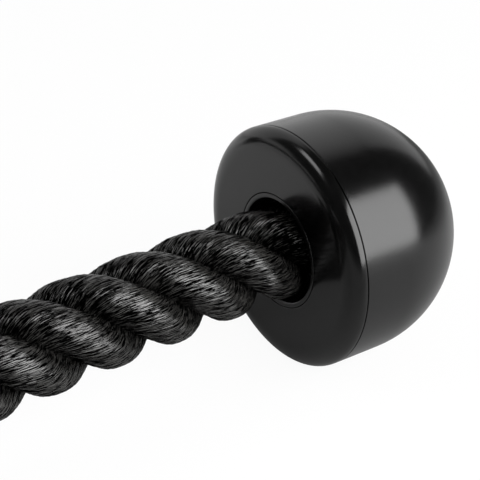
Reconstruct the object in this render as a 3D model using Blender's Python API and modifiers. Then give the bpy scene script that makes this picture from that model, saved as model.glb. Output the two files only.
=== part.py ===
"""Triceps rope attachment: one thick three-strand rope runs through a bent steel hanger tube with a
welded eye, and each of its two arms ends inside a hollow plastic end ball that turns on the rope.
It lies on a flat surface. +Z is up, the hanger is towards -Y and the arms spread towards +Y."""

import math

import bmesh
import bpy
import numpy as np
from mathutils import Matrix, Vector

seat_gap = 0.0003  # between pieces that touch on the real object
merge_gap = 0.000003  # points nearer than this are one

# Rope: three strands laid up right-handed
rope_diameter = 0.029
lay_length = 0.0598  # one full turn of a strand along the rope
lay_phase = math.radians(63.7)  # turn of the strands at the face of the right ball
strand_count = 3
strand_centre_share = 0.55  # of the rope's radius
lobe_points = 6
rope_ring_step = 0.006

# Free arm from the tube's mouth to the face of the ball: plan distance, sideways bow outwards,
# and how much of the rise from the hanger to the ball is done there
arm_stations = [0.0, 0.03, 0.06, 0.09, 0.12, 0.15, 0.18, 0.21, 0.235, 0.255, 0.275, 0.3]
arm_bows = [0.0, 0.0008, 0.0022, 0.0034, 0.0038, 0.0034, 0.0024, 0.0012, 0.0004, 0.0, 0.0, 0.0]
arm_rise_shares = [0.0, 0.05, 0.2, 0.42, 0.64, 0.82, 0.905, 0.955, 0.988, 1.0, 1.0, 1.0]
face_station = 0.255
route_step = 0.0005

# Stretches of each arm, along the rope from the tube's mouth
neck_length = 0.05
upper_grip_length = 0.062
mid_length = 0.04

# Hanger tube
tube_wall = 0.0025
tube_bore_clearance = 0.0005
tube_bend_radius = 0.045
tube_bend_angle = math.radians(60)  # to each side of the apex
tube_straight = 0.016
tube_lip_flare = 0.0009
tube_lip_length = 0.0035
tube_lip_knee_share = 1 / 3  # of the lip's length, from the mouth
tube_knee_flare_share = 0.75  # of the flare, reached at the knee
tube_arc_steps = 14
tube_sides = 24
crimp_depth = 0.0008
crimp_width = 0.0035
crimp_spacing = 0.0055
crimps_each_side = 2

# Hanger eye and its weld
eye_thickness = 0.01
eye_hole_radius = 0.015
eye_head_radius = 0.0265
eye_neck = 0.0245  # from the tube to the centre of the hole
eye_base_angle = math.radians(27)
eye_edge_round = 0.0012
eye_hole_sides = 24
eye_head_steps = 16
eye_base_steps = 8
weld_radius = 0.002
weld_angle = math.radians(24)
weld_sides = 8
weld_steps = 10
weld_end_share = 0.6  # of the bead's size, at its two ends

# End ball, turned about its axis; depths run from the flat face into the ball
ball_diameter = 0.076
rim_width = 0.007
rim_depth = 0.0045
band_length = 0.0161
parting_gap = 0.0004
shell_wall = 0.0035
spigot_length = 0.009
spigot_wall = 0.003
cap_web = 0.005
hub_wall = 0.0035
hub_length = 0.014
bore_diameter = 0.033
bush_wall = 0.0016
bush_lip = 0.0006
bush_flange_width = 0.0035
bush_flange = 0.002
washer_clearance = 0.0008
washer_diameter = 0.052
washer_thickness = 0.003
ferrule_wall = 0.003
ferrule_length = 0.02
ferrule_band = 0.004
ferrule_pinch = 0.0006
ferrule_pinch_shares = [1 / 3, 2 / 3]  # of the ferrule's length
ball_sides = 32
inner_sides = 20
rim_steps = 5
dome_steps = 10

overrun = 0.002  # how far a cutter runs past what it cuts

# Driven sizes
rope_radius = rope_diameter / 2
ball_radius = ball_diameter / 2
tube_inner = rope_radius + tube_bore_clearance
tube_outer = tube_inner + tube_wall
hanger_height = tube_outer + tube_lip_flare
arm_angle = math.pi / 2 - tube_bend_angle  # between an arm and +Y
bush_outer = bore_diameter / 2 + bush_wall
flange_start = hub_length + seat_gap
washer_start = flange_start + bush_flange + seat_gap
ferrule_start = washer_start + washer_thickness + seat_gap
rope_end_depth = ferrule_start + ferrule_length
dome_centre_depth = rim_depth + band_length
eye_base_radius = tube_bend_radius + tube_outer + seat_gap
eye_centre_radius = tube_bend_radius + tube_outer + eye_neck


# Route of the rope's centre line

def smooth_through(stations, values, at):
    """Monotone cubic through the given values: no overshoot where they level off."""
    stations, values = np.array(stations), np.array(values)
    steps = np.diff(stations)
    slopes = np.diff(values) / steps
    product = slopes[:-1] * slopes[1:]
    total = slopes[:-1] + slopes[1:]
    safe = np.where(total == 0, 1, total)
    inner = np.where(product > 0, 2 * product / safe, 0)
    tangents = np.concatenate([[0], inner, [0]])
    k = np.clip(np.searchsorted(stations, at, side="right") - 1, 0, len(steps) - 1)
    t = (at - stations[k]) / steps[k]
    return (
        values[k] * (2 * t**3 - 3 * t**2 + 1)
        + values[k + 1] * (3 * t**2 - 2 * t**3)
        + tangents[k] * steps[k] * (t**3 - 2 * t**2 + t)
        + tangents[k + 1] * steps[k] * (t**3 - t**2)
    )


def right_half_route():
    """Points from the apex of the hanger to the end of the right arm, before centring in Y."""
    arc_count = math.ceil(tube_bend_radius * tube_bend_angle / route_step)
    angle = np.linspace(0, tube_bend_angle, arc_count)
    arc = np.stack([
        tube_bend_radius * np.sin(angle),
        tube_bend_radius * (1 - np.cos(angle)),
        np.full(arc_count, hanger_height),
    ], axis=1)
    along = np.array([math.sin(arm_angle), math.cos(arm_angle), 0])
    outward = np.array([math.cos(arm_angle), -math.sin(arm_angle), 0])
    straight = np.arange(route_step, tube_straight, route_step)
    mouth = arc[-1] + tube_straight * along
    reach = np.arange(0, face_station + rope_end_depth + route_step, route_step)
    bow = smooth_through(arm_stations, arm_bows, reach)
    rise = smooth_through(arm_stations, arm_rise_shares, reach)
    arm = mouth + reach[:, None] * along + bow[:, None] * outward
    arm[:, 2] = hanger_height + (ball_radius - hanger_height) * rise
    return np.concatenate([arc, arc[-1] + straight[:, None] * along, arm])


def centred_in_y(points):
    """Shifts a route so that the hanger eye and the domes reach equally far from y = 0."""
    along = (points[-1] - points[-2]) / np.linalg.norm(points[-1] - points[-2])
    dome_centre = points[-1] - along * (rope_end_depth - dome_centre_depth)
    far = dome_centre[1] + ball_radius
    near = -(eye_centre_radius - tube_bend_radius) - eye_head_radius
    return points - np.array([0, (far + near) / 2, 0])


half_route = centred_in_y(right_half_route())
mirrored = half_route[:0:-1] * np.array([-1, 1, 1])
route = np.concatenate([mirrored, half_route])
route_length = np.concatenate([[0], np.cumsum(np.linalg.norm(np.diff(route, axis=0), axis=1))])
route_length -= route_length[len(mirrored)]  # zero at the apex, positive along the right arm
arm_end = route_length[-1]
mouth_at = tube_bend_radius * tube_bend_angle + tube_straight
face_at = arm_end - rope_end_depth
bend_centre = Vector((0, half_route[0][1] + tube_bend_radius, hanger_height))


def route_point(distance):
    return Vector([float(np.interp(distance, route_length, route[:, k])) for k in range(3)])


def route_direction(distance):
    return (route_point(distance + route_step) - route_point(distance - route_step)).normalized()


# Scene, collections and materials

for old in list(bpy.data.objects):
    bpy.data.objects.remove(old, do_unlink=True)

parts = bpy.data.collections.new("triceps_rope_attachment")
guides = bpy.data.collections.new("guides_and_cutters")
bpy.context.scene.collection.children.link(parts)
bpy.context.scene.collection.children.link(guides)


def material(name, colour, roughness, metallic=0.0):
    made = bpy.data.materials.new(name)
    made.use_nodes = True
    shader = made.node_tree.nodes["Principled BSDF"]
    shader.inputs["Base Color"].default_value = (*colour, 1)
    shader.inputs["Roughness"].default_value = roughness
    shader.inputs["Metallic"].default_value = metallic
    return made


rope_filament = material("rope_filament", (0.016, 0.016, 0.017), 0.42)
ball_plastic = material("ball_plastic", (0.012, 0.012, 0.012), 0.3)
bush_plastic = material("bush_plastic", (0.014, 0.014, 0.014), 0.35)
zinc_steel = material("zinc_steel", (0.55, 0.55, 0.56), 0.4, 1.0)
hanger_chrome = material("hanger_chrome", (0.72, 0.72, 0.74), 0.12, 1.0)
weld_steel = material("weld_steel", (0.6, 0.6, 0.61), 0.3, 1.0)


def keep(obj, finish, parent=None):
    """Puts a finished sub-part in the collection, with its material and its pivot."""
    parts.objects.link(obj)
    obj.data.materials.append(finish)
    if parent:
        bpy.context.view_layer.update()
        obj.parent = parent
        obj.matrix_parent_inverse = parent.matrix_world.inverted()
    return obj


def keep_as_guide(obj):
    guides.objects.link(obj)
    obj.hide_render = True
    obj.display_type = "WIRE"
    return obj


def pivot(name, place, axis, parent=None):
    """An empty on a joint's axis, its Z along the axis."""
    empty = bpy.data.objects.new(name, None)
    parts.objects.link(empty)
    turn = axis.to_track_quat("Z", "Y").to_matrix().to_4x4()
    world = Matrix.Translation(place) @ turn
    if parent:
        empty.parent = parent
        empty.matrix_parent_inverse = parent.matrix_world.inverted()
    empty.matrix_world = world
    bpy.context.view_layer.update()
    return empty


# Shapes swept along a path

def section_curve(name, outline):
    """A closed flat section that a swept piece takes. It runs clockwise, so that skins face outwards."""
    data = bpy.data.curves.new(name, "CURVE")
    data.dimensions = "2D"
    data.fill_mode = "NONE"
    spline = data.splines.new("POLY")
    spline.points.add(len(outline) - 1)
    for point, (x, y) in zip(spline.points, reversed(outline)):
        point.co = (x, y, 0, 1)
    spline.use_cyclic_u = True
    return keep_as_guide(bpy.data.objects.new(name, data))


def round_outline(radius, sides):
    angles = [2 * math.pi * k / sides for k in range(sides)]
    return [(radius * math.cos(a), radius * math.sin(a)) for a in angles]


def laid_outline():
    """Outline of the laid rope cut square: each strand shows as an ellipse, widened by its slant."""
    centre = strand_centre_share * rope_radius
    radial = rope_radius - centre
    slant = math.atan(2 * math.pi * centre / lay_length)
    across = radial / math.cos(slant)
    outline = []
    for lobe in range(strand_count):
        for k in range(lobe_points):
            angle = 2 * math.pi / strand_count * (k / lobe_points - 1 / 2)
            a = (math.cos(angle) / radial) ** 2 + (math.sin(angle) / across) ** 2
            b = -2 * math.cos(angle) * centre / radial**2
            c = (centre / radial) ** 2 - 1
            reach = (-b + math.sqrt(b * b - 4 * a * c)) / (2 * a)
            turned = angle + 2 * math.pi * lobe / strand_count
            outline.append((reach * math.cos(turned), reach * math.sin(turned)))
    return outline


def swept(name, path, section, tilts=None, sizes=None, capped=True):
    """A curve object along the path. Its section keeps one axis level and turns by the tilts."""
    data = bpy.data.curves.new(name, "CURVE")
    data.dimensions = "3D"
    data.twist_mode = "Z_UP"
    data.bevel_mode = "OBJECT"
    data.bevel_object = section
    data.use_fill_caps = capped
    spline = data.splines.new("POLY")
    spline.points.add(len(path) - 1)
    for k, place in enumerate(path):
        spline.points[k].co = (*place, 1)
        spline.points[k].tilt = tilts[k] if tilts is not None else 0
        spline.points[k].radius = sizes[k] if sizes is not None else 1
    return bpy.data.objects.new(name, data)


def as_mesh(obj):
    """The curve object's shape as a welded mesh object."""
    keep_as_guide(obj)
    bpy.context.view_layer.update()
    graph = bpy.context.evaluated_depsgraph_get()
    mesh = bpy.data.meshes.new_from_object(obj.evaluated_get(graph))
    cage = bmesh.new()
    cage.from_mesh(mesh)
    bmesh.ops.remove_doubles(cage, verts=cage.verts, dist=merge_gap)
    cage.to_mesh(mesh)
    cage.free()
    made = bpy.data.objects.new(obj.name, mesh)
    made.matrix_world = obj.matrix_world
    name = obj.name
    bpy.data.objects.remove(obj, do_unlink=True)
    made.name = name
    return made


def bevelled(obj, width):
    rounding = obj.modifiers.new("rounded_edges", "BEVEL")
    rounding.width = width
    rounding.segments = 2
    rounding.limit_method = "ANGLE"
    return obj


# Rope

laid_section = section_curve("laid_section", laid_outline())


def rope_stretch(name, start, end, parent=None):
    """The rope between two distances from the apex, each end half a gap short of its neighbour."""
    start, end = start + seat_gap / 2, end - seat_gap / 2
    count = math.ceil((end - start) / rope_ring_step) + 1
    distances = np.linspace(start, end, count)
    path = [route_point(d) for d in distances]
    tilts = [2 * math.pi * (d - face_at) / lay_length + lay_phase for d in distances]
    return keep(swept(name, path, laid_section, tilts), rope_filament, parent)


# Hanger

def arc_place(radius, angle, height):
    """A point round the tube's bend centre, the angle counted from the apex towards +X."""
    return bend_centre + Vector((radius * math.sin(angle), -radius * math.cos(angle), height))


def hanger_tube():
    """The bent tube, belled at its two mouths and pinched on to the rope by pressed grooves."""
    arc = tube_bend_radius * tube_bend_angle
    lip_at = mouth_at - tube_lip_length
    half = [arc * k / (tube_arc_steps / 2) for k in range(tube_arc_steps // 2 + 1)]
    half += [(arc + lip_at) / 2, lip_at, mouth_at - tube_lip_length * tube_lip_knee_share, mouth_at]
    distances = [-d for d in half[:0:-1]] + half
    belled = 1 + tube_lip_flare / tube_outer
    knee = 1 + tube_lip_flare * tube_knee_flare_share / tube_outer
    sizes = [belled, knee] + [1] * (len(distances) - 4) + [knee, belled]
    section = section_curve("tube_section", round_outline(tube_outer, tube_sides))
    path = [route_point(d) for d in distances]
    tube = as_mesh(swept("hanger_tube", path, section, sizes=sizes, capped=False))
    wall = tube.modifiers.new("wall", "SOLIDIFY")
    wall.thickness = tube_wall
    wall.offset = -1
    wall.use_even_offset = True
    for side in (-1, 1):
        for k in range(crimps_each_side):
            at = side * (lip_at - crimp_width - k * crimp_spacing)
            groove = tube.modifiers.new(f"crimp_{side}_{k}", "BOOLEAN")
            groove.operation = "DIFFERENCE"
            groove.solver = "EXACT"
            groove.object = crimp_ring(f"crimp_cutter_{side}_{k}", at)
    return keep(tube, hanger_chrome)


def crimp_ring(name, at):
    inner, outer = tube_outer - crimp_depth, tube_outer + tube_lip_flare + overrun
    half = crimp_width / 2
    outline = [(inner, half / 2), (outer, half), (outer, -half), (inner, -half / 2)]
    ring = turned_mesh(name, outline, tube_sides)
    place_on_axis(ring, route_point(at), route_direction(at))
    return keep_as_guide(ring)


def hanger_eye():
    """The flat plate: a round head, two tangent flanks and a base that follows the tube."""
    head_centre = arc_place(eye_centre_radius, 0, 0)
    corner = arc_place(eye_base_radius, eye_base_angle, 0)
    offset = Vector((corner.x - head_centre.x, corner.y - head_centre.y))
    tangent = math.atan2(offset.y, offset.x) - math.acos(eye_head_radius / offset.length)
    sweep = math.pi + 2 * tangent
    head = [tangent - sweep * k / eye_head_steps for k in range(eye_head_steps + 1)]
    outline = [
        (head_centre.x + eye_head_radius * math.cos(a), head_centre.y + eye_head_radius * math.sin(a))
        for a in head
    ]
    for k in range(eye_base_steps + 1):
        angle = eye_base_angle * (2 * k / eye_base_steps - 1)
        base = arc_place(eye_base_radius, angle, 0)
        outline.append((base.x, base.y))
    circle = round_outline(eye_hole_radius, eye_hole_sides)
    hole = [(head_centre.x + x, head_centre.y + y) for x, y in circle]
    data = bpy.data.curves.new("hanger_eye", "CURVE")
    data.dimensions = "2D"
    data.fill_mode = "BOTH"
    data.extrude = eye_thickness / 2
    for loop in (outline, hole):
        spline = data.splines.new("POLY")
        spline.points.add(len(loop) - 1)
        for point, (x, y) in zip(spline.points, loop):
            point.co = (x, y, 0, 1)
        spline.use_cyclic_u = True
    plate = bpy.data.objects.new("hanger_eye", data)
    plate.location.z = hanger_height
    return keep(bevelled(as_mesh(plate), eye_edge_round), hanger_chrome)


def weld_bead(name, side):
    """A bead in the corner between the plate and the tube, a gap clear of both."""
    height = side * (eye_thickness / 2 + seat_gap + weld_radius)
    reach = math.sqrt((tube_outer + seat_gap + weld_radius) ** 2 - height**2)
    section = section_curve(name + "_section", round_outline(weld_radius, weld_sides))
    angles = [weld_angle * (2 * k / weld_steps - 1) for k in range(weld_steps + 1)]
    path = [arc_place(tube_bend_radius + reach, a, height) for a in angles]
    sizes = [weld_end_share] + [1] * (weld_steps - 1) + [weld_end_share]
    keep(swept(name, path, section, sizes=sizes), weld_steel)


# Turned pieces of the end balls

def turned_mesh(name, outline, sides):
    """An object from a closed outline of (radius, depth) turned about its own Z axis."""
    area = sum(a[0] * b[1] - b[0] * a[1] for a, b in zip(outline, outline[1:] + outline[:1]))
    if area > 0:
        outline = outline[::-1]
    touches_axis = [k for k, point in enumerate(outline) if point[0] == 0]
    edges = [(k, (k + 1) % len(outline)) for k in range(len(outline))]
    if touches_axis:
        edges = [edge for edge in edges if not set(edge) <= set(touches_axis)]
    mesh = bpy.data.meshes.new(name)
    mesh.from_pydata([(radius, 0, depth) for radius, depth in outline], edges, [])
    obj = bpy.data.objects.new(name, mesh)
    turn = obj.modifiers.new("turned", "SCREW")
    turn.axis = "Z"
    turn.angle = 2 * math.pi
    turn.steps = sides
    turn.render_steps = sides
    turn.use_merge_vertices = True
    turn.merge_threshold = merge_gap
    turn.use_smooth_shade = True
    return obj


def place_on_axis(obj, place, direction):
    """Turns the piece's Z along the direction and its X upwards, so that a facet edge is lowest."""
    forward = direction.normalized()
    up = (Vector((0, 0, 1)) - forward * forward.z).normalized()
    side = forward.cross(up)
    turn = Matrix((up, side, forward)).transposed().to_4x4()
    obj.matrix_world = Matrix.Translation(place) @ turn
    return obj


def quarter(centre_radius, centre_depth, radial, axial, start, end, steps):
    """Points of an elliptic arc, its angle counted from the radial direction."""
    angles = [start + (end - start) * k / steps for k in range(steps + 1)]
    return [(centre_radius + radial * math.cos(a), centre_depth + axial * math.sin(a)) for a in angles]


def dome_shell_outline():
    start = rim_depth + parting_gap / 2
    inner = ball_radius - shell_wall
    right_angle = math.pi / 2
    outside = quarter(0, dome_centre_depth, ball_radius, ball_radius, 0, right_angle, dome_steps)
    inside = quarter(0, dome_centre_depth, inner, inner, right_angle, 0, dome_steps - 2)
    outside[-1] = (0, dome_centre_depth + ball_radius)
    inside[0] = (0, dome_centre_depth + inner)
    return [(ball_radius, start)] + outside + inside + [(inner, start)]


def face_cap_outline():
    rear = rim_depth - parting_gap / 2
    spigot_outer = ball_radius - shell_wall - seat_gap
    spigot_inner = spigot_outer - spigot_wall
    hole = bush_outer + seat_gap
    rim = quarter(ball_radius - rim_width, rear, rim_width, rear, -math.pi / 2, 0, rim_steps)
    return [(hole, 0)] + rim + [
        (spigot_outer, rear),
        (spigot_outer, rim_depth + spigot_length),
        (spigot_inner, rim_depth + spigot_length),
        (spigot_inner, cap_web),
        (hole + hub_wall, cap_web),
        (hole + hub_wall, hub_length),
        (hole, hub_length),
    ]


def bore_bush_outline():
    bore = bore_diameter / 2
    rear = flange_start + bush_flange
    flange = bush_outer + bush_flange_width
    return [
        (bore, bush_lip), (bore + bush_lip, 0), (bush_outer, 0), (bush_outer, flange_start),
        (flange, flange_start), (flange, rear), (bore, rear),
    ]


def stop_washer_outline():
    hole = rope_radius + washer_clearance
    rear = washer_start + washer_thickness
    outer = washer_diameter / 2
    return [(hole, washer_start), (outer, washer_start), (outer, rear), (hole, rear)]


def end_ferrule_outline():
    """A sleeve with two bands where the press has pinched it on to the rope."""
    inner = rope_radius + seat_gap
    outer = inner + ferrule_wall
    rear = ferrule_start + ferrule_length
    outline = [(inner, ferrule_start), (outer, ferrule_start)]
    for share in ferrule_pinch_shares:
        middle = ferrule_start + ferrule_length * share
        near, far = middle - ferrule_band / 2, middle + ferrule_band / 2
        outline += [(outer, near), (outer - ferrule_pinch, near + ferrule_pinch)]
        outline += [(outer - ferrule_pinch, far - ferrule_pinch), (outer, far)]
    return outline + [(outer, rear), (inner, rear)]


def end_ball(side, face, direction, ball_pivot, rope_pivot):
    """The ball's pieces, which turn together, and the ferrule that stays on the rope."""
    pieces = [
        ("dome_shell", dome_shell_outline(), ball_sides, ball_plastic, ball_pivot),
        ("face_cap", face_cap_outline(), ball_sides, ball_plastic, ball_pivot),
        ("bore_bush", bore_bush_outline(), inner_sides, bush_plastic, ball_pivot),
        ("stop_washer", stop_washer_outline(), inner_sides, zinc_steel, ball_pivot),
        ("end_ferrule", end_ferrule_outline(), inner_sides, zinc_steel, rope_pivot),
    ]
    for name, outline, sides, finish, parent in pieces:
        piece = turned_mesh(f"{side}_{name}", outline, sides)
        place_on_axis(piece, face, direction)
        keep(piece, finish, parent)


# The two arms

def arm(side, sign):
    """One arm: two bending stretches and two grips, then the ball that turns on the end."""
    def at(distance):
        return sign * (mouth_at + distance)

    upper_start = neck_length
    mid_start = upper_start + upper_grip_length
    lower_start = mid_start + mid_length
    rope_end = arm_end - mouth_at
    upright = Vector((0, 0, 1))
    spread = pivot(f"{side}_spread_pivot", route_point(at(neck_length / 2)), upright)
    bend = pivot(f"{side}_bend_pivot", route_point(at(mid_start + mid_length / 2)), upright, spread)
    face = route_point(sign * face_at)
    direction = (route_point(sign * arm_end) - face).normalized()
    turn = pivot(f"{side}_ball_pivot", face, direction, bend)

    def stretch(name, start, end, parent):
        first, last = sorted((at(start), at(end)))
        rope_stretch(f"{side}_{name}", first, last, parent)

    stretch("rope_neck", 0, upper_start, None)
    stretch("rope_upper_grip", upper_start, mid_start, spread)
    stretch("rope_mid", mid_start, lower_start, spread)
    stretch("rope_lower_grip", lower_start, rope_end + seat_gap / 2, bend)
    end_ball(side, face, direction, turn, bend)
    for empty in (spread, bend, turn):
        place = empty.matrix_world.translation
        print(empty.name, [round(value, 6) for value in place])
    print(side, "ball axis", [round(value, 6) for value in direction])


hanger_tube()
hanger_eye()
weld_bead("upper_weld_bead", 1)
weld_bead("lower_weld_bead", -1)
rope_stretch("rope_center", -mouth_at, mouth_at)
arm("right", 1)
arm("left", -1)
print("eye centre", [round(value, 6) for value in arc_place(eye_centre_radius, 0, 0)])
print("rope length", round(2 * arm_end, 4), "free arm", round(face_at - mouth_at, 4))
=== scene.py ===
import math

import bmesh
import bpy
import numpy as np
from mathutils import Matrix, Vector


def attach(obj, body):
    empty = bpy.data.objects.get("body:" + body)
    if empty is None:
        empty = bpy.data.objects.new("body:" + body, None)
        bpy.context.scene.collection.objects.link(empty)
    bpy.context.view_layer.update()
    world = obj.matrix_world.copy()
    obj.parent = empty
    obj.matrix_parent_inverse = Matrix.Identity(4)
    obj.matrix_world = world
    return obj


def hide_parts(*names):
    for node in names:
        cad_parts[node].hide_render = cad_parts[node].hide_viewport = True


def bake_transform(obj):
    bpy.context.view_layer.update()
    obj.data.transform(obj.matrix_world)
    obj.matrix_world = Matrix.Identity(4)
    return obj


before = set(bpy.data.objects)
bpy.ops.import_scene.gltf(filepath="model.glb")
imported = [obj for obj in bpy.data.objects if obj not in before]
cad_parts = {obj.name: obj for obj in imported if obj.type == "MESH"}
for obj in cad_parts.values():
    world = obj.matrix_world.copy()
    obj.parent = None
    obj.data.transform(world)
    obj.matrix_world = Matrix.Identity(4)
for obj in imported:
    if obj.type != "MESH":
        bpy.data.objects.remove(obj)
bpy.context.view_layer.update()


# Camera, at the photograph's height and angle

cameraSettings = {
    "place": (0.3214, -0.2079, 0.2406),
    "right": (0.9070, 0.4210, 0.0),
    "ahead": (-0.3715, 0.8003, -0.4707),
    "lens": 105.0,  # mm, on a 36 mm sensor: the frame is 19.5 degrees wide
    "sensor": 36.0,
    "nearest": 0.01,
}


def placeCamera(s):
    # It looks along ahead, with right to its right hand; its own up is square to both
    data = bpy.data.cameras.new("camera")
    data.lens = s["lens"]
    data.sensor_width = s["sensor"]
    data.clip_start = s["nearest"]
    camera = bpy.data.objects.new("camera", data)
    bpy.context.scene.collection.objects.link(camera)
    ahead = Vector(s["ahead"]).normalized()
    right = Vector(s["right"]).normalized()
    axes = Matrix((right, right.cross(ahead), -ahead)).transposed()
    camera.matrix_world = Matrix.Translation(s["place"]) @ axes.to_4x4()
    bpy.context.scene.camera = camera


placeCamera(cameraSettings)
print("camera placed")


# Shader maths

class Tone:
    # One output of a node, so that masks and tones are written as sums and products
    def __init__(self, tree, socket=None):
        self.tree = tree
        self.socket = socket

    def make(self, kind, settings=None, sockets=None, out=0):
        # Any node: its settings first, then the values or links of its sockets, by name or number
        node = self.tree.nodes.new(kind)
        for name, value in (settings or {}).items():
            setattr(node, name, value)
        for name, value in (sockets or {}).items():
            if isinstance(value, Tone):
                self.tree.links.new(value.socket, node.inputs[name])
            else:
                node.inputs[name].default_value = value
        return Tone(self.tree, node.outputs[out] if len(node.outputs) else None)

    def sum(self, operation, first, second):
        return self.make("ShaderNodeMath", {"operation": operation}, {0: first, 1: second})

    def __add__(self, other):
        return self.sum("ADD", self, other)

    def __radd__(self, other):
        return self.sum("ADD", other, self)

    def __sub__(self, other):
        return self.sum("SUBTRACT", self, other)

    def __rsub__(self, other):
        return self.sum("SUBTRACT", other, self)

    def __mul__(self, other):
        return self.sum("MULTIPLY", self, other)

    def __rmul__(self, other):
        return self.sum("MULTIPLY", other, self)

    def __pow__(self, other):
        return self.sum("POWER", self, other)

    def greatest(self, other):
        return self.sum("MAXIMUM", self, other)

    def between(self, low, high):
        # 0 below low, 1 above high, smooth between them
        return self.make("ShaderNodeMapRange", {"interpolation_type": "SMOOTHSTEP"},
                         {0: self, 1: low, 2: high})

    def blended(self, first, second):
        # The first colour where this is 0, the second where it is 1
        return self.make("ShaderNodeMix", {"data_type": "RGBA"}, {0: self, 6: first, 7: second}, 2)

    def stretched(self, scale):
        return self.make("ShaderNodeVectorMath", {"operation": "MULTIPLY"}, {0: self, 1: scale})

    def axis(self, name):
        return self.make("ShaderNodeSeparateXYZ", None, {0: self}, name)

    def noise(self, scale, detail=2.0, rough=0.5):
        return self.make("ShaderNodeTexNoise", None,
                         {"Vector": self, "Scale": scale, "Detail": detail, "Roughness": rough})

    def bumped(self, depth, under=None):
        # The normal that this height gives, on top of the normal under it
        below = {} if under is None else {"Normal": under}
        return self.make("ShaderNodeBump", None, {"Distance": depth, "Height": self, **below})

    def attribute(self, name, out):
        return self.make("ShaderNodeAttribute", {"attribute_name": name}, None, out)

    def place(self):
        return self.make("ShaderNodeTexCoord", None, None, "Object")

    def ray(self, kind):
        return self.make("ShaderNodeLightPath", None, None, f"Is {kind} Ray")

    def mirrorRay(self):
        return self.ray("Glossy").greatest(self.ray("Transmission"))

    def shownBy(self, output):
        self.make(output, None, {"Surface": self})


def newFinish(name):
    # A material without nodes, and what makes them
    finish = bpy.data.materials.new(name)
    finish.use_nodes = True
    finish.node_tree.nodes.clear()
    return finish, Tone(finish.node_tree)


def closeFinish(tone, sockets):
    # The main shader, linked to the output
    tone.make("ShaderNodeBsdfPrincipled", None, sockets).shownBy("ShaderNodeOutputMaterial")


def grey(value):
    return (value, value, value, 1.0)


# Finishes. Each noise is given by its scale, its detail and, where it isn't 0.5, its roughness.

ropeFinish = {
    # the gap colour is dead black for the gaps between filaments, and painted shade in the valleys between
    # yarns
    "gap": (0.0002, 0.0002, 0.0002, 1.0),
    "filament": (0.0012, 0.0012, 0.0011, 1.0),
    "pale": (0.034, 0.033, 0.031, 1.0),
    "paleEdge": (0.44, 0.66),  # values of the fine noise between which a filament turns pale
    "across": 3200.0,  # how fine the filaments are, round the strand, per metre
    "along": 640.0,  # and along them
    "fineNoise": (1.0, 2.0, 0.6),
    "ridgeWidth": 1.25,  # how many times wider than a filament a ridge is
    "ridgeLength": 5.0,  # and how many times longer
    "yarnShare": 0.35,  # what the backs of the yarns add to the height
    "fineShare": 3.0,  # what the filaments add
    "ridgeShare": 0.3,  # and what the ridges add
    "gapEdge": (0.12, 0.38),  # heights between which a gap turns into a filament
    "paintedShadeCover": 0.75,  # painted shade: how bright the filaments stay deep between the strands
    "paintedShadeGaps": 0.22,  # painted shade: and how far the gaps between them widen there
    "roughness": (0.18, 0.28),
    "bump": 0.00019,
    "index": 1.74,
}


def makeRopeFinish(s):
    # Glossy filaments, mixed with dead black where the height is low: the backs of the yarns plus fine noise
    # plus ridges, less painted shade between the strands and near the balls' faces. The dead black is the
    # gaps between filaments and painted shade in the valleys between yarns.
    finish, tone = newFinish("black_rope_filament")
    place = tone.attribute("filamentSpace", "Vector")
    yarns = tone.attribute("yarnHeight", "Fac")
    paintedLightShare = tone.attribute("paintedLightShare", "Fac")
    fine = place.stretched((s["across"], s["across"], s["along"])).noise(*s["fineNoise"])
    ridgeAcross, ridgeAlong = s["across"] / s["ridgeWidth"], s["along"] / s["ridgeLength"]
    ridges = place.stretched((ridgeAcross, ridgeAcross, ridgeAlong)).noise(1.0)
    pale = fine.between(*s["paleEdge"])
    low, high = s["roughness"]
    filament = tone.make("ShaderNodeBsdfPrincipled", None, {
        "Base Color": pale.blended(s["filament"], s["pale"]), "Roughness": high - (high - low) * pale,
        "Normal": ridges.bumped(s["bump"]), "IOR": s["index"],
    })
    # dead black: the gaps between filaments, and painted shade in the yarn valleys and between the strands
    gap = tone.make("ShaderNodeBsdfDiffuse", None, {"Color": s["gap"]})
    height = s["yarnShare"] * yarns + (fine - 0.5) * s["fineShare"] + (ridges - 0.5) * s["ridgeShare"]
    # painted shade: wider gaps and dimmer filaments where the painted light share is low
    height = height - s["paintedShadeGaps"] * (1 - paintedLightShare)
    cover = height.between(*s["gapEdge"]) * (s["paintedShadeCover"] + (1 - s["paintedShadeCover"]) * paintedLightShare)
    mixed = tone.make("ShaderNodeMixShader", None, {0: cover, 1: gap, 2: filament})
    mixed.shownBy("ShaderNodeOutputMaterial")
    return finish


ballFinish = {
    "colour": (0.0003, 0.0003, 0.0003, 1.0),
    "hazy": (0.0009, 0.0009, 0.0009, 1.0),
    "hazeNoise": (330.0, 3.0),
    "hazeEdge": (0.35, 0.7),
    "roughness": (0.14, 0.19),
    "swirlNoise": (55.0, 3.0),
    "swirlDepth": 0.00004,
    "grainNoise": (2400.0, 2.0),
    "grainDepth": 0.0000035,
    "index": 1.5,
    "domeRougher": 0.03,
    "domeGrainier": 6.0,
    "bushRougher": 0.08,
}


def makeBallFinish(s, name, rougher=0.0, grainier=1.0):
    # Black plastic that is hazy in places, with the slow swirl of the mould and a fine grain on it
    finish, tone = newFinish(name)
    place = tone.place()
    grain = place.noise(*s["grainNoise"])
    swirl = place.noise(*s["swirlNoise"])
    haze = place.noise(*s["hazeNoise"])
    low, high = s["roughness"]
    normal = grain.bumped(s["grainDepth"] * grainier, swirl.bumped(s["swirlDepth"]))
    closeFinish(tone, {
        "Base Color": haze.between(*s["hazeEdge"]).blended(s["colour"], s["hazy"]),
        "Roughness": low + rougher + (high - low) * (0.5 * swirl + 0.5 * haze),
        "Normal": normal, "IOR": s["index"],
    })
    return finish


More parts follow.
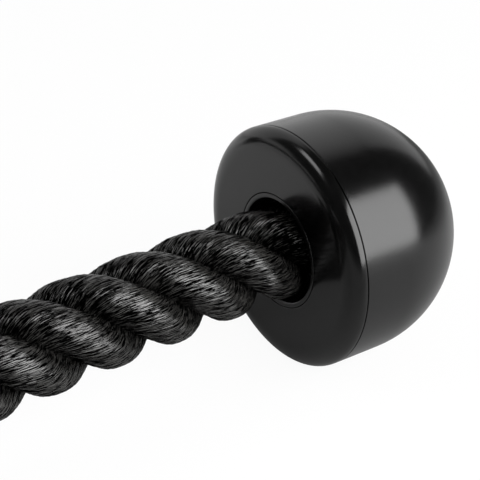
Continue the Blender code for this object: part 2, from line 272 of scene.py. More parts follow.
chromeFinish = {
    "colour": (0.62, 0.63, 0.65, 1.0),
    "worn": (0.42, 0.42, 0.43, 1.0),
    "wornShare": 0.35,  # how far a scratch takes on the worn colour
    "roughness": (0.07, 0.24),
    "smearNoise": (60.0, 4.0, 0.6),
    "smearEdge": (0.4, 0.7),
    "smearShare": 0.6,  # of the roughness; the scratches have the rest
    "scratchNoise": (900.0, 2.0),
    "scratchStretch": (1.0, 6.0, 1.0),
    "scratchEdge": (0.62, 0.74),
    "scratchDepth": 0.000006,
    "weldRougher": 0.16,
}


def makeChromeFinish(s, name, rougher=0.0):
    # Chrome with slow smears and fine scratches, which are rougher, and darker where it is scratched
    finish, tone = newFinish(name)
    place = tone.place()
    smears = place.noise(*s["smearNoise"]).between(*s["smearEdge"])
    scratch = place.stretched(s["scratchStretch"]).noise(*s["scratchNoise"])
    marks = scratch.between(*s["scratchEdge"])
    low, high = s["roughness"]
    share = s["smearShare"]
    closeFinish(tone, {
        "Base Color": (marks * s["wornShare"]).blended(s["colour"], s["worn"]), "Metallic": 1.0,
        "Roughness": low + rougher + (high - low) * (share * smears + (1 - share) * marks),
        "Normal": scratch.bumped(s["scratchDepth"]),
    })
    return finish


zincFinish = {
    "colour": (0.50, 0.50, 0.50, 1.0),
    "bloom": (0.36, 0.37, 0.39, 1.0),
    "bloomNoise": (180.0, 3.0),
    "bloomEdge": (0.35, 0.65),
    "roughness": (0.3, 0.5),
}


def makeZincFinish(s):
    # Dull plating whose bloom is darker and rougher
    finish, tone = newFinish("zinc_plated_steel")
    bloom = tone.place().noise(*s["bloomNoise"]).between(*s["bloomEdge"])
    low, high = s["roughness"]
    closeFinish(tone, {
        "Base Color": bloom.blended(s["colour"], s["bloom"]), "Metallic": 1.0,
        "Roughness": low + (high - low) * bloom,
    })
    return finish


ropeMaterial = makeRopeFinish(ropeFinish)
capMaterial = makeBallFinish(ballFinish, "black_cap_plastic")
domeMaterial = makeBallFinish(ballFinish, "black_dome_plastic", ballFinish["domeRougher"],
                              ballFinish["domeGrainier"])
bushMaterial = makeBallFinish(ballFinish, "black_bush_plastic", ballFinish["bushRougher"])
chromeMaterial = makeChromeFinish(chromeFinish, "hanger_chrome_plate")
weldMaterial = makeChromeFinish(chromeFinish, "plated_weld", chromeFinish["weldRougher"])
zincMaterial = makeZincFinish(zincFinish)
print("finishes made: rope filament, moulded plastic, bush plastic, chrome, weld, zinc")


# Meshes from grids of points

def gridFaces(rows, columns, closeRows=False, closeColumns=True, start=0):
    # Four-sided faces between neighbouring points of a grid, numbered row by row
    i = np.arange(rows if closeRows else rows - 1)[:, None]
    j = np.arange(columns if closeColumns else columns - 1)[None, :]
    here, ahead = i * columns, (i + 1) % rows * columns
    near, far = j + 0 * i, (j + 1) % columns + 0 * i
    corners = np.stack([here + near, here + far, ahead + far, ahead + near], axis=-1)
    return corners.reshape(-1, 4) + start


def fanFaces(rows, columns, start=0):
    # Triangles that close a grid's first and last row, each round a hub. The two hubs follow the grid.
    here = np.arange(columns)
    onward = (here + 1) % columns
    lastRow = (rows - 1) * columns
    hub = np.full(columns, rows * columns)
    first = np.stack([here, hub, onward], 1)
    last = np.stack([lastRow + onward, hub + 1, lastRow + here], 1)
    return np.concatenate([first, last]) + start


def putMesh(name, points, quads, finish, triangles=None):
    # Points and faces become a mesh object. Four-sided faces are smooth and fans flat. If the volume comes
    # out negative, all faces are turned.
    triangles = np.zeros((0, 3), int) if triangles is None else triangles
    halves = np.concatenate([quads[:, :3], quads[:, [0, 2, 3]], triangles])
    a, b, c = (points[halves[:, k]] for k in range(3))
    if np.einsum("ij,ij->i", a, np.cross(b, c)).sum() < 0:
        quads, triangles = quads[:, ::-1], triangles[:, ::-1]
    corners = np.concatenate([quads.ravel(), triangles.ravel()])
    sizes = np.concatenate([np.full(len(quads), 4), np.full(len(triangles), 3)])
    starts = np.concatenate([[0], np.cumsum(sizes)[:-1]])
    mesh = bpy.data.meshes.new(name)
    mesh.vertices.add(len(points))
    mesh.vertices.foreach_set("co", points.astype(np.float32).ravel())
    mesh.loops.add(len(corners))
    mesh.loops.foreach_set("vertex_index", corners.astype(np.int32))
    mesh.polygons.add(len(sizes))
    mesh.polygons.foreach_set("loop_start", starts.astype(np.int32))
    mesh.update(calc_edges=True)
    mesh.polygons.foreach_set("use_smooth", sizes == 4)
    mesh.materials.append(finish)
    obj = bpy.data.objects.new(name, mesh)
    bpy.context.scene.collection.objects.link(obj)
    return obj


def joinDoubles(obj, distance=1e-6):
    # Closes poles and seams where points of a grid fall together
    cage = bmesh.new()
    cage.from_mesh(obj.data)
    bmesh.ops.remove_doubles(cage, verts=cage.verts, dist=distance)
    cage.to_mesh(obj.data)
    cage.free()
    return obj


def setAttribute(obj, name, kind, values):
    # One value, or one vector, for each point of the mesh
    attribute = obj.data.attributes.new(name, kind, "POINT")
    field = "vector" if kind == "FLOAT_VECTOR" else "value"
    attribute.data.foreach_set(field, values.astype(np.float32).ravel())


# The rope's route: the same points as the part's

routeSettings = {
    "bendRadius": 0.045,
    "bendAngle": 60.0,  # degrees each side of the apex
    "straight": 0.016,
    "hangerHeight": 0.0184,
    "ballRadius": 0.038,
    "stations": [0.0, 0.03, 0.06, 0.09, 0.12, 0.15, 0.18, 0.21, 0.235, 0.255, 0.275, 0.3],
    "bows": [0.0, 0.0008, 0.0022, 0.0034, 0.0038, 0.0034, 0.0024, 0.0012, 0.0004, 0.0, 0.0, 0.0],
    "riseShares": [0.0, 0.05, 0.2, 0.42, 0.64, 0.82, 0.905, 0.955, 0.988, 1.0, 1.0, 1.0],
    "faceStation": 0.255,
    "ropeEndDepth": 0.0399,
    "step": 0.0005,
    "domeCentreDepth": 0.0206,
    "eyeCentreRadius": 0.087,
    "eyeHeadRadius": 0.0265,
    "neck": 0.05,
    "upperGrip": 0.062,
    "mid": 0.04,
}


def smoothThrough(stations, values, at):
    # Cubic through the values whose slopes never overshoot, level at both ends
    stations, values = np.array(stations), np.array(values)
    steps = np.diff(stations)
    slopes = np.diff(values) / steps
    product, total = slopes[:-1] * slopes[1:], slopes[:-1] + slopes[1:]
    inner = np.where(product > 0, 2 * product / np.where(total == 0, 1, total), 0)
    tangents = np.concatenate([[0], inner, [0]])
    k = np.clip(np.searchsorted(stations, at, side="right") - 1, 0, len(steps) - 1)
    t = (at - stations[k]) / steps[k]
    return (values[k] * (2 * t**3 - 3 * t**2 + 1) + values[k + 1] * (3 * t**2 - 2 * t**3)
            + tangents[k] * steps[k] * (t**3 - 2 * t**2 + t)
            + tangents[k + 1] * steps[k] * (t**3 - t**2))


def layRoute(s):
    # Arc of the tube, its straight end, then the arm, which bows out and rises smoothly through its stations;
    # mirrored for the other half
    bend, step = s["bendRadius"], s["step"]
    half = math.radians(s["bendAngle"])
    arcCount = math.ceil(bend * half / step)
    angle = np.linspace(0, half, arcCount)
    level = np.full(arcCount, s["hangerHeight"])
    arc = np.stack([bend * np.sin(angle), bend * (1 - np.cos(angle)), level], 1)
    along = np.array([math.cos(half), math.sin(half), 0])
    outward = np.array([math.sin(half), -math.cos(half), 0])
    straight = np.arange(step, s["straight"], step)
    reach = np.arange(0, s["faceStation"] + s["ropeEndDepth"] + step, step)
    arm = arc[-1] + s["straight"] * along + reach[:, None] * along
    arm = arm + smoothThrough(s["stations"], s["bows"], reach)[:, None] * outward
    rise = smoothThrough(s["stations"], s["riseShares"], reach)
    arm[:, 2] = s["hangerHeight"] + (s["ballRadius"] - s["hangerHeight"]) * rise
    right = np.concatenate([arc, arc[-1] + straight[:, None] * along, arm])
    domeCentre = right[-1] - along * (s["ropeEndDepth"] - s["domeCentreDepth"])
    far = domeCentre[1] + s["ballRadius"]
    near = -(s["eyeCentreRadius"] - bend) - s["eyeHeadRadius"]
    right = right - np.array([0, (far + near) / 2, 0])
    left = right[:0:-1] * np.array([-1, 1, 1])
    route = np.concatenate([left, right])
    length = np.concatenate([[0], np.cumsum(np.linalg.norm(np.diff(route, axis=0), axis=1))])
    return route, length - length[len(left)], right[0]


route, routeLength, apex = layRoute(routeSettings)
armEnd = float(routeLength[-1])
faceAt = armEnd - routeSettings["ropeEndDepth"]
bendLength = routeSettings["bendRadius"] * math.radians(routeSettings["bendAngle"])
mouthAt = bendLength + routeSettings["straight"]
bendCentre = apex + np.array([0, routeSettings["bendRadius"], 0])


def routePoint(distance):
    # Points of the centre line at distances from the apex, positive along the right arm
    distance = np.asarray(distance, float)
    return np.stack([np.interp(distance, routeLength, route[:, k]) for k in range(3)], axis=-1)


def routeFrame(distance, reach=0.001):
    # The line's own direction, the upward normal and the level side, from its slope over twice the reach
    ahead = routePoint(distance + reach) - routePoint(distance - reach)
    ahead /= np.linalg.norm(ahead, axis=-1, keepdims=True)
    up = np.array([0, 0, 1.0]) - ahead * ahead[..., 2:]
    up /= np.linalg.norm(up, axis=-1, keepdims=True)
    return ahead, up, np.cross(ahead, up)


# Rope: strands of twisted filament yarns

ropeSettings = {
    "diameter": 0.0293,
    "strands": 3,
    "layLength": 0.0598,
    "phase": 153.7,  # degrees from up at the right ball's face, about the rope's own direction
    "centre": 0.008,  # from the rope's centre line to a strand's
    "outward": 0.0065,  # a strand's half width away from the rope's centre
    "across": 0.0065,  # and along its neighbours
    "square": 2.45,  # 2 is an ellipse, more is fuller at the corners
    "wedge": -0.12,  # how much wider a strand is outside than inside
    "yarns": 48,
    "pointsPerYarn": 4,
    "yarnTwist": -315.0,  # radians a metre round the strand, against the lay
    "ring": 0.0011,
    "lastRing": 0.00002,  # from a piece's end to one more ring, so that its end cap doesn't shade its side
    "yarnHeight": 0.00012,
    "yarnLevel": 0.7,  # the share of a yarn's height that lies in the strand's plain section
    "unevenYarns": 0.00006,
    "unevenStrand": 0.00010,
    "wander": 0.2,  # how far the yarns stray sideways, in yarns
    "raised": 0.2,  # how much an uneven yarn's lift adds to the height that its finish reads
    # Waves: seed, turns round the strand, lengths along it
    "wanderWaves": (11, (1, 4), (0.004, 0.012)),
    "yarnWaves": (21, (3, 14), (0.005, 0.014)),
    "strandWaves": (31, (2, 7), (0.006, 0.03)),
    "waveCount": 9,
    "waveSpread": 1.6,
    "patternShift": 0.37,  # metres between the noise on one strand and on the next, so that they differ
    "crown": 0.38,  # how far a strand's line of most painted light is turned from its outermost one, in radians
    "closing": 1.4,  # more paints deeper shade on a strand's sides
    "join": 0.1796,  # where the two pieces of an arm meet, from the apex
    "boreReach": 0.005,  # how far in front of a ball's face the painted shade on the rope starts
    "borePaintedShade": 1.0,  # painted shade at the ball's face: takes away what the painted light share alone leaves
    "pathPoints": 24,
}


def unevenness(s, waves, strand, around, along):
    # A sum of sine waves that close round the strand and run along it, mostly from -1 to 1
    seed, turns, lengths = s[waves]
    draw = np.random.default_rng(seed + strand)
    total = 0
    for k in range(s["waveCount"]):
        m = draw.integers(turns[0], turns[1] + 1)
        wave = draw.uniform(*lengths) * draw.choice([-1, 1])
        total = total + np.sin(m * around + 2 * math.pi * along / wave + draw.uniform(0, 2 * math.pi))
    return total / math.sqrt(s["waveCount"] * s["waveSpread"])


def strandSurface(s, strand, first, last):
    # Grid of one strand. Down the rows it follows the rope; each column stays on one line of filaments, which
    # winds round the strand against the lay. The section is a squarish ellipse square to the strand: cosine
    # and sine over the root of their summed powers. It grows by the rounded back of each yarn and by slow
    # unevenness.
    columns = s["yarns"] * s["pointsPerYarn"]
    rows = math.ceil((last - first) / s["ring"]) + 1
    even = np.linspace(first + s["lastRing"], last - s["lastRing"], rows)
    d = np.concatenate([[first], even, [last]])[:, None]
    around = np.linspace(0, 2 * math.pi, columns, endpoint=False)[None, :] + 0 * d
    ahead, up, side = (v[:, None, :] for v in routeFrame(d[:, 0]))
    turn = 2 * math.pi / s["layLength"]
    lay = math.radians(s["phase"]) + turn * (d - faceAt) + 2 * math.pi * strand / s["strands"]
    lay = lay[..., None]
    outward = np.cos(lay) * up + np.sin(lay) * side
    tangent = -np.sin(lay) * up + np.cos(lay) * side
    slope = math.atan(turn * s["centre"])
    across = math.cos(slope) * tangent - math.sin(slope) * ahead

    yarn = s["yarns"] * around / (2 * math.pi) + s["wander"] * unevenness(s, "wanderWaves", strand, around, d)
    share = yarn - np.floor(yarn)
    back = np.sqrt(np.clip(1 - (2 * share - 1) ** 2, 0, 1))
    lift = unevenness(s, "yarnWaves", strand, np.floor(yarn) * 2 * math.pi / s["yarns"], d)
    slow = unevenness(s, "strandWaves", strand, around, d)
    relief = s["yarnHeight"] * (back - s["yarnLevel"]) + s["unevenYarns"] * lift + s["unevenStrand"] * slow
    relief = relief[..., None]

    phi = (around + s["yarnTwist"] * d)[..., None]
    full = (np.abs(np.cos(phi)) ** s["square"] + np.abs(np.sin(phi)) ** s["square"]) ** (-1 / s["square"])
    points = (routePoint(d[:, 0])[:, None, :] + s["centre"] * outward
              + (s["outward"] * full + relief) * np.cos(phi) * outward
              + (s["across"] * full * (1 + s["wedge"] * np.cos(phi)) + relief) * np.sin(phi) * across)

    # What the finish reads: a straightened strand for its noise, the height, and the painted light share,
    # which paints shade between the strands, on their sides and near the ball's face
    radius = s["outward"]
    length = d + 0 * around + strand * s["patternShift"]
    space = np.stack([radius * np.cos(around), radius * np.sin(around), length], -1)
    height = np.clip(back + s["raised"] * lift, 0, 1)
    # painted shade: the rope fades to black towards the ball's face, and darkens on a strand's sides away
    # from its crown
    lit = np.clip((faceAt - np.abs(d)) / s["boreReach"], 0, 1)
    sidePaintedLight = np.clip(np.cos(phi[..., 0] + s["crown"]), 0, 1) ** s["closing"]
    return points, space, height, lit * sidePaintedLight - (1 - lit) * s["borePaintedShade"]


def makeRopePiece(name, s, first, last):
    # The strands between two distances, each closed by a fan at its ends
    allPoints, allSpace, allHeight, allPaintedLight, quads, fans, start = [], [], [], [], [], [], 0
    for strand in range(s["strands"]):
        points, space, height, paintedLightShare = strandSurface(s, strand, first, last)
        allPoints += [points.reshape(-1, 3), points[[0, -1]].mean(1)]
        allSpace += [space.reshape(-1, 3), space[[0, -1]].mean(1)]
        allHeight += [height.ravel(), [0.5, 0.5]]
        allPaintedLight += [paintedLightShare.ravel(), [0, 0]]
        quads.append(gridFaces(*height.shape, start=start))
        fans.append(fanFaces(*height.shape, start=start))
        start += height.size + 2
    obj = putMesh(name, np.concatenate(allPoints), np.concatenate(quads), ropeMaterial,
                  np.concatenate(fans))
    setAttribute(obj, "filamentSpace", "FLOAT_VECTOR", np.concatenate(allSpace))
    setAttribute(obj, "yarnHeight", "FLOAT", np.concatenate(allHeight))
    setAttribute(obj, "paintedLightShare", "FLOAT", np.concatenate(allPaintedLight))
    return obj


def makeArmRope(side, sign):
    # Each arm in two pieces that meet at the join: the near one from the apex through the tube, the far one
    # on to the ball
    s = ropeSettings
    near = makeRopePiece(f"{side}_near_rope", s, *sorted((0, sign * s["join"])))
    far = makeRopePiece(f"{side}_far_rope", s, *sorted((sign * s["join"], sign * armEnd)))
    centre = ["rope_center"] if sign > 0 else []
    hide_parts(f"{side}_rope_neck", f"{side}_rope_upper_grip", *centre)
    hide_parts(f"{side}_rope_mid", f"{side}_rope_lower_grip")
    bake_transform(near)
    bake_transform(far)


makeArmRope("right", 1)
makeArmRope("left", -1)
print("rope laid:", round(2 * armEnd, 3), "m in four pieces")


# End balls, turned about their axis

ballSettings = {
    "radius": 0.038,
    "rimWidth": 0.007,
    "rimDepth": 0.0045,
    "bandEnd": 0.0206,
    "seam": 0.00032,
    "seamEdge": 0.00015,
    "wall": 0.0035,
    "spigotDepth": 0.0135,
    "spigotWall": 0.003,
    "web": 0.005,
    "hubWall": 0.0035,
    "hubDepth": 0.014,
    "clearance": 0.0003,  # of the spigot in the dome, and of the bush's flange behind the hub
    "bore": 0.0165,
    "bushWall": 0.0016,
    "bushGap": 0.00022,
    "bushLip": 0.0006,
    "flangeWidth": 0.0035,
    "flange": 0.002,
    "around": 144,
    # Points on each stretch of the profiles
    "points": {"edge": 4, "seam": 5, "band": 6, "face": 8, "lip": 8, "rim": 22, "dome": 44, "inside": 24},
}


def arcPoints(centreRadius, centreDepth, radial, axial, start, end, count):
    # Part of an ellipse in (radius, depth); the angle in degrees runs from the radial direction
    t = np.radians(np.linspace(start, end, count))
    return np.stack([centreRadius + radial * np.cos(t), centreDepth + axial * np.sin(t)], 1)


def straightPoints(start, end, count=2):
    # Even steps from one (radius, depth) to another
    return np.linspace(start, end, count)


def domeProfile(s):
    # Seam edge, straight band, half round to the pole, then the inner wall back
    edge, start = s["seamEdge"], s["rimDepth"] + s["seam"] / 2
    outer, inner, count = s["radius"], s["radius"] - s["wall"], s["points"]
    return np.concatenate([
        straightPoints((inner, start), (outer - edge, start)),
        arcPoints(outer - edge, start + edge, edge, edge, -75, 0, count["seam"]),
        straightPoints((outer, start + 3 * edge), (outer, s["bandEnd"] - edge), count["band"]),
        arcPoints(0, s["bandEnd"], outer, outer, 0, 90, count["dome"]),
        arcPoints(0, s["bandEnd"], inner, inner, 90, 0, count["inside"]),
    ])


def capProfile(s):
    # Flat face, rounded rim, seam edge, then the spigot and the hub behind
    edge, rear = s["seamEdge"], s["rimDepth"] - s["seam"] / 2
    hole = s["bore"] + s["bushWall"] + s["bushGap"]
    rimCentre = s["radius"] - s["rimWidth"]
    spigot = s["radius"] - s["wall"] - s["clearance"]
    spigotInside = spigot - s["spigotWall"]
    hub, count = hole + s["hubWall"], s["points"]
    return np.concatenate([
        arcPoints(hole + edge, edge, edge, edge, -180, -90, count["edge"]),
        straightPoints((hole + 3 * edge, 0), (rimCentre - 3 * edge, 0), count["face"]),
        arcPoints(rimCentre, rear - edge, s["rimWidth"], rear - edge, -90, 0, count["rim"]),
        arcPoints(s["radius"] - edge, rear - edge, edge, edge, 10, 80, count["edge"]),
        straightPoints((spigot, rear), (spigot, s["spigotDepth"])),
        straightPoints((spigotInside, s["spigotDepth"]), (spigotInside, s["web"])),
        straightPoints((hub, s["web"]), (hub, s["hubDepth"])),
        straightPoints((hole, s["hubDepth"]), (hole, 4 * edge)),
    ])


def bushProfile(s):
    # A thin rounded lip round the bore, the sleeve, and the flange that holds it from behind
    bore, lip = s["bore"], s["bushLip"]
    outer, edge = bore + s["bushWall"], s["seamEdge"]
    start = s["hubDepth"] + s["clearance"]
    flange, count = outer + s["flangeWidth"], s["points"]
    return np.concatenate([
        arcPoints(bore + lip, lip, lip, lip, -180, -90, count["lip"]),
        arcPoints(outer - edge, edge, edge, edge, -90, 0, count["edge"]),
        straightPoints((outer, 4 * edge), (outer, start)),
        straightPoints((flange, start), (flange, start + s["flange"])),
        straightPoints((bore, start + s["flange"]), (bore, lip * 2)),
    ])


def turnedPiece(name, profile, face, axis, around, finish):
    # Each profile point goes round the ball's axis: face + depth * axis + radius * (cos * up + sin * side)
    t = np.linspace(0, 2 * math.pi, around, endpoint=False)[None, :, None]
    up = np.array([0, 0, 1.0])
    side = np.cross(axis, up)
    radius, depth = profile[:, 0][:, None, None], profile[:, 1][:, None, None]
    points = face + depth * axis + radius * (np.cos(t) * up + np.sin(t) * side)
    quads = gridFaces(len(profile), around, closeRows=True)
    return joinDoubles(putMesh(name, points.reshape(-1, 3), quads, finish))


def makeBall(side, sign):
    # Three turned shells on the rope's end, whose axis is the rope's; washer and ferrule get their finish
    s = ballSettings
    face = routePoint(sign * faceAt)
    axis = routePoint(sign * armEnd) - face
    axis /= np.linalg.norm(axis)
    for name, profile, finish, node, slot in (
        ("dome", domeProfile(s), domeMaterial, "dome_shell", "ball_plastic"),
        ("front_cap", capProfile(s), capMaterial, "face_cap", "ball_plastic"),
        ("bush", bushProfile(s), bushMaterial, "bore_bush", "bush_plastic"),
    ):
        piece = turnedPiece(f"{side}_ball_{name}", profile, face, axis, s["around"], finish)
        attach(piece, f"{side}_ball")
        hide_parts(f"{side}_{node}")
    for node in ("stop_washer", "end_ferrule"):
        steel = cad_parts[f"{side}_{node}"]
        steel.data.materials.clear()
        steel.data.materials.append(zincMaterial)


makeBall("right", 1)
makeBall("left", -1)
print("end balls turned")


# Hanger: bent tube, eye plate and welds

hangerSettings = {
    "outer": 0.0175,
    "inner": 0.015,
    "flare": 0.0009,
    "lip": 0.0045,  # length of the belled mouth
    "lipRound": 0.0006,
    "lipPoints": 9,
    "groove": 0.0008,
    "grooveWidth": 0.0018,
    "grooves": (0.0070, 0.0125),  # from the mouth
    "grooveLost": 0.0004,  # of its depth, between the outer and the inner wall
    "rings": 220,
    "around": 96,
    "plate": 0.01,
    "edge": 0.0013,
    "edgePoints": 6,
    "flatRings": (0.33, 0.66),  # shares of the way from the hole to the plate's edge
    "hole": 0.015,
    "head": 0.0265,
    "neck": 0.0245,
    "baseAngle": 27.0,
    "outlinePoints": (160, 80, 40),  # on the round head, the foot and each flank
    "eyeAround": 288,
    "weldAngle": 25.5,
    "weldRadius": 0.0026,
    "weldRings": 260,
    "weldAround": 24,
    "ripple": 0.0019,
    "rippleShare": 0.10,  # of the radius
    "drift": (0.04, 3.3 / 7),  # share of the radius, and waves for each ripple
    "taper": (0.03, 0.02),  # share of the bead's half length, and the square of what is left at its end
    "weldLift": 0.0006,  # of its centre line over the plate
    "weldStand": 0.0004,  # and over the tube
}


def makeTube(s):
    # Radius along the tube: the outer wall with its belled mouths and rounded grooves, round the lip, then
    # the inner wall back; each ring is a circle square to the bent centre line
    fine = np.linspace(0, mouthAt, s["rings"])
    outerAlong = np.concatenate([-fine[:0:-1], fine])
    fromMouth = mouthAt - np.abs(outerAlong)
    bell = s["flare"] * (1 - np.clip(fromMouth / s["lip"], 0, 1)) ** 2
    halfGroove = s["grooveWidth"] / 2
    dents = sum(s["groove"] * np.exp(-((fromMouth - g) / halfGroove) ** 2) for g in s["grooves"])
    outer = s["outer"] + bell - dents
    inner = s["inner"] + bell[::-1] / 2 - np.clip(dents[::-1] - s["grooveLost"], 0, None)
    lipTurn = np.radians(np.linspace(90, -90, s["lipPoints"])[1:-1])
    wall = (s["outer"] + s["flare"] - s["inner"] - s["flare"] / 2) / 2
    lipRadius = s["inner"] + s["flare"] / 2 + wall + wall * np.sin(lipTurn)
    lipAlong = mouthAt - s["lipRound"] + s["lipRound"] * np.cos(lipTurn)
    wallAlong = outerAlong * (1 - s["lipRound"] / mouthAt)
    along = np.concatenate([wallAlong, lipAlong, wallAlong[::-1], -lipAlong[::-1]])
    radius = np.concatenate([outer, lipRadius, inner, lipRadius[::-1]])
    ahead, up, side = (v[:, None, :] for v in routeFrame(along))
    t = np.linspace(0, 2 * math.pi, s["around"], endpoint=False)[None, :, None]
    circle = np.cos(t) * up + np.sin(t) * side
    points = routePoint(along)[:, None, :] + radius[:, None, None] * circle
    quads = gridFaces(len(along), s["around"], closeRows=True)
    return putMesh("bent_hanger_tube", points.reshape(-1, 3), quads, chromeMaterial)


def eyeOutline(s):
    # Distance from the hole's centre to the plate's edge for each angle: round head, flanks that touch it,
    # and the base that follows the tube
    baseRadius = routeSettings["bendRadius"] + s["outer"]
    head = np.array([0, bendCentre[1] - baseRadius - s["neck"]])
    base = math.radians(s["baseAngle"])
    corner = np.array([baseRadius * math.sin(base), bendCentre[1] - baseRadius * math.cos(base)])
    offset = corner - head
    tangent = math.atan2(offset[1], offset[0]) - math.acos(s["head"] / np.linalg.norm(offset))
    headCount, footCount, flankCount = s["outlinePoints"]
    roundHead = np.linspace(tangent, -math.pi - tangent, headCount)
    arc = head + s["head"] * np.stack([np.cos(roundHead), np.sin(roundHead)], 1)
    swing = np.linspace(-base, base, footCount)
    foot = np.stack([baseRadius * np.sin(swing), bendCentre[1] - baseRadius * np.cos(swing)], 1)
    leftFlank = np.linspace(arc[-1], foot[0], flankCount)[1:-1]
    rightFlank = np.linspace(foot[-1], arc[0], flankCount)[1:-1]
    loop = np.concatenate([arc, leftFlank, foot, rightFlank]) - head
    angle = np.arctan2(loop[:, 1], loop[:, 0])
    order = np.argsort(angle)
    reach = np.linalg.norm(loop, axis=1)[order]
    t = np.linspace(-math.pi, math.pi, s["eyeAround"], endpoint=False)
    return head, t, np.interp(t, angle[order], reach, period=2 * math.pi)


def makeEye(s):
    # For each angle round the hole, a closed section: hole wall, rounded edge, flat, rounded edge, outer wall
    # and back underneath
    head, t, reach = eyeOutline(s)
    half, edge = s["plate"] / 2, s["edge"]
    turn = np.radians(np.linspace(0, 90, s["edgePoints"]))
    hole = np.full_like(reach, s["hole"])
    rows, heights = [], []
    for q in turn:  # from the hole's wall on to the upper flat
        rows.append(hole + edge * (1 - math.cos(q)))
        heights.append(half - edge * (1 - math.sin(q)))
    for share in s["flatRings"]:
        rows.append(hole + edge + (reach - hole - 2 * edge) * share)
        heights.append(half)
    for q in turn[::-1]:  # and over the outer edge
        rows.append(reach - edge * (1 - math.cos(q)))
        heights.append(half - edge * (1 - math.sin(q)))
    radius = np.array(rows + rows[::-1])
    height = np.array(heights + [-h for h in heights[::-1]])[:, None]
    points = np.stack([
        head[0] + radius * np.cos(t), head[1] + radius * np.sin(t),
        routeSettings["hangerHeight"] + height + 0 * radius,
    ], axis=-1)
    quads = gridFaces(len(radius), len(t), closeRows=True)
    return putMesh("carabiner_eye", points.reshape(-1, 3), quads, chromeMaterial)


def makeWeld(name, s, sign):
    # A bead in the corner of plate and tube: a round section carried along the arc, swelling and pulling back
    # in even ripples, and drawn in at its ends
    swing = math.radians(s["weldAngle"])
    u = np.linspace(-1, 1, s["weldRings"])
    arc = routeSettings["bendRadius"] + s["outer"]
    ripple = 2 * math.pi * u * swing * arc / s["ripple"]
    drift, rate = s["drift"]
    swell = 1 + s["rippleShare"] * np.abs(np.sin(ripple / 2)) + drift * np.sin(rate * ripple)
    taper, least = s["taper"]
    body = s["weldRadius"] * swell * np.clip((1 - np.abs(u)) / taper, least, 1) ** 0.5
    height = sign * (s["plate"] / 2 + s["weldLift"])
    reach = routeSettings["bendRadius"] + math.sqrt((s["outer"] + s["weldStand"]) ** 2 - height**2)
    outward = np.stack([np.sin(u * swing), -np.cos(u * swing), 0 * u], 1)
    middle = np.array([0, bendCentre[1], routeSettings["hangerHeight"] + height])
    centre = middle + reach * outward
    t = np.linspace(0, 2 * math.pi, s["weldAround"], endpoint=False)[None, :, None]
    circle = np.cos(t) * outward[:, None, :] + np.sin(t) * np.array([0, 0, 1.0])
    points = centre[:, None, :] + body[:, None, None] * circle
    rows, columns = points.shape[:2]
    points = np.concatenate([points.reshape(-1, 3), centre[[0, -1]]])
    return putMesh(name, points, gridFaces(rows, columns), weldMaterial, fanFaces(rows, columns))


for piece, node, slot in (
    (makeTube(hangerSettings), "hanger_tube", "hanger_chrome"),
    (makeEye(hangerSettings), "hanger_eye", "hanger_chrome"),
    (makeWeld("upper_weld", hangerSettings, 1), "upper_weld_bead", "weld_steel"),
    (makeWeld("lower_weld", hangerSettings, -1), "lower_weld_bead", "weld_steel"),
):
    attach(piece, "hanger")
    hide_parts(node)
print("hanger built")


# Studio: pale floor, soft lamps, white surroundings

studioSettings = {
    "floorSize": 12.0,
    "floorPoints": 9,
    "floorColour": (0.86, 0.86, 0.86, 1.0),
    "whiteForCamera": 0.93,
    "worldForSurfaces": 0.50,
    # Painted light and shade on the floor that only a mirror sees, in place of light pools, falloff and the
    # object's shadow; and the metres of x or y over which they change
    "leftTones": (0.64, 0.95),  # near, and far to the left
    "leftSpan": (-0.25, -0.02),
    "rightTones": (0.30, 0.55),  # in front, and to the right of the ball
    "rightSpans": ((0.12, 0.30), (0.02, 0.12)),  # in x and in y
    "frontShare": 0.36,  # what is left of them far in front
    "frontSpan": (0.05, 0.30),
    "behindLoss": 0.6,  # what they lose far behind
    "behindSpan": (0.25, 0.50),
    "border": (0.075, 0.15),  # from the left tones to the right ones, in x
    "borderTurn": (0.10, 1.6),  # in front of this y it runs off to the left, so many metres a metre
    # Tones of the surroundings that a mirror sees; their edges are cosines of the turn from their middle or
    # sines of the height
    "drape": 0.07,  # on the dark side
    "sweep": (0.72, 0.90),  # on the white side, at its edges and its middle
    "sweepMiddle": -39.0,  # degrees from +Y towards +X
    "sweepEdge": (0.515, 0.60),
    "sweepSpan": (0.60, 0.95),
    "sweepTop": (0.70, 0.88),
    "sweepTilt": (110.0, 0.12),  # its top is lower towards this side
    "wall": 0.80,  # on the low pale wall to the left
    "wallMiddle": -80.0,
    "wallEdge": (0.82, 0.92),
    "wallTop": (0.0, 0.18),
    "lampsAim": (0.18, 0.15, 0.04),
    "lamps": {
        # name: azimuth from +Y towards +X, height in degrees, distance, width, height in metres, power
        "key_softbox": (106.5, 24.6, 1.0, 1.44, 0.91, 23.3),
        "side_softbox": (-128.0, 43.0, 1.2, 0.46, 0.36, 2.1),
    },
}


def paintedFloorReflection(s, x, y):
    # Painted light and shade: the left tones, then past the border the right ones, which fade far in front
    # and far behind
    near, far = s["leftTones"]
    left = far + (near - far) * x.between(*s["leftSpan"])
    front, aside = s["rightTones"]
    spanX, spanY = s["rightSpans"]
    right = front + (aside - front) * x.between(*spanX) * y.between(*spanY)
    right = right * (1 + (s["frontShare"] - 1) * (0 - y).between(*s["frontSpan"]))
    right = right * (1 - s["behindLoss"] * y.between(*s["behindSpan"]))
    turnAt, slant = s["borderTurn"]
    border = (x + slant * (turnAt - y).greatest(0.0)).between(*s["border"])
    return left + (right - left) * border


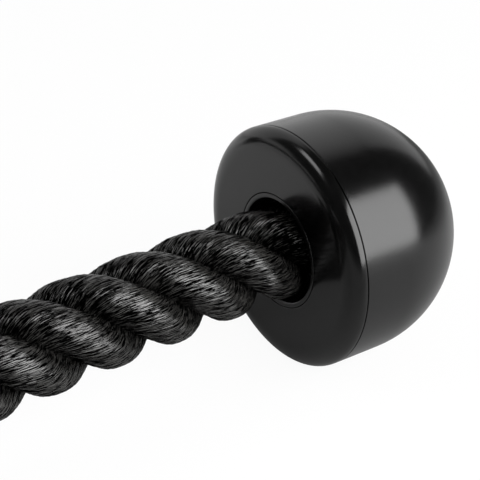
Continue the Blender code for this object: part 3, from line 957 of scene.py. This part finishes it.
def makeFloor(s):
    # A flat grid: matte for the object's shadow, nearly white for the camera, and painted with tones of light
    # and shade for a mirror
    half, count = s["floorSize"] / 2, s["floorPoints"]
    x, y = np.meshgrid(np.linspace(-half, half, count), np.linspace(-half, half, count))
    points = np.stack([x, y, 0 * x], -1).reshape(-1, 3)
    finish, tone = newFinish("pale_floor")
    place = tone.place()
    mirrored = paintedFloorReflection(s, place.axis("X"), place.axis("Y")).blended(grey(0.0), grey(1.0))
    # mirrors see the painted light and shade; other rays see the plain floor colour
    seen = tone.mirrorRay().blended(s["floorColour"], mirrored)
    matte = tone.make("ShaderNodeBsdfDiffuse", None, {"Color": seen})
    white = tone.make("ShaderNodeEmission", None, {"Color": grey(1.0), "Strength": 1.0})
    share = s["whiteForCamera"] * tone.ray("Camera")
    mixed = tone.make("ShaderNodeMixShader", None, {0: share, 1: matte, 2: white})
    mixed.shownBy("ShaderNodeOutputMaterial")
    putMesh("studio_floor", points, gridFaces(count, count, closeColumns=False), finish)


def makeWorld(s):
    # White for the camera. Mirrors see a white sweep, a low pale wall and dark drapes elsewhere.
    world = bpy.data.worlds.new("studio_world")
    bpy.context.scene.world = world
    world.use_nodes = True
    world.node_tree.nodes.clear()
    tone = Tone(world.node_tree)
    way = tone.make("ShaderNodeTexCoord", None, None, "Generated")
    x, y, z = (way.axis(name) for name in "XYZ")
    level = (x * x + y * y) ** 0.5

    def towards(azimuth):
        # Cosine of the turn from this azimuth to the ray's
        a = math.radians(azimuth)
        return (math.sin(a) * x + math.cos(a) * y) * (level ** -1.0)

    wall = towards(s["wallMiddle"]).between(*s["wallEdge"]) * (1 - z.between(*s["wallTop"])) * s["wall"]
    lowSide, tilt = s["sweepTilt"]
    under = 1 - (z + tilt * towards(lowSide)).between(*s["sweepTop"])
    edge, middle = s["sweep"]
    turned = towards(s["sweepMiddle"])
    sweep = edge + (middle - edge) * turned.between(*s["sweepSpan"])
    mirrored = wall.greatest(turned.between(*s["sweepEdge"]) * under * sweep).greatest(s["drape"])
    camera, mirror = tone.ray("Camera"), tone.mirrorRay()
    strength = camera + (1 - camera) * (mirror * mirrored + (1 - mirror) * s["worldForSurfaces"])
    shader = tone.make("ShaderNodeBackground", None, {"Color": grey(1.0), "Strength": strength})
    shader.shownBy("ShaderNodeOutputWorld")


def makeLamps(s):
    # Each lamp stands at its distance from the aim, on its azimuth and height, and faces it
    aim = Vector(s["lampsAim"])
    for name, (azimuth, rise, distance, width, height, power) in s["lamps"].items():
        a, e = math.radians(azimuth), math.radians(rise)
        way = Vector((math.sin(a) * math.cos(e), math.cos(a) * math.cos(e), math.sin(e)))
        data = bpy.data.lights.new(name, "AREA")
        data.shape = "RECTANGLE"
        data.size = width
        data.size_y = height
        data.energy = power
        lamp = bpy.data.objects.new(name, data)
        bpy.context.scene.collection.objects.link(lamp)
        lamp.location = aim + way * distance
        lamp.rotation_euler = (-way).to_track_quat("-Z", "Y").to_euler()
        lamp.visible_camera = False


makeFloor(studioSettings)
makeWorld(studioSettings)
makeLamps(studioSettings)
bpy.context.scene.view_settings.view_transform = "Standard"
print("studio lit")
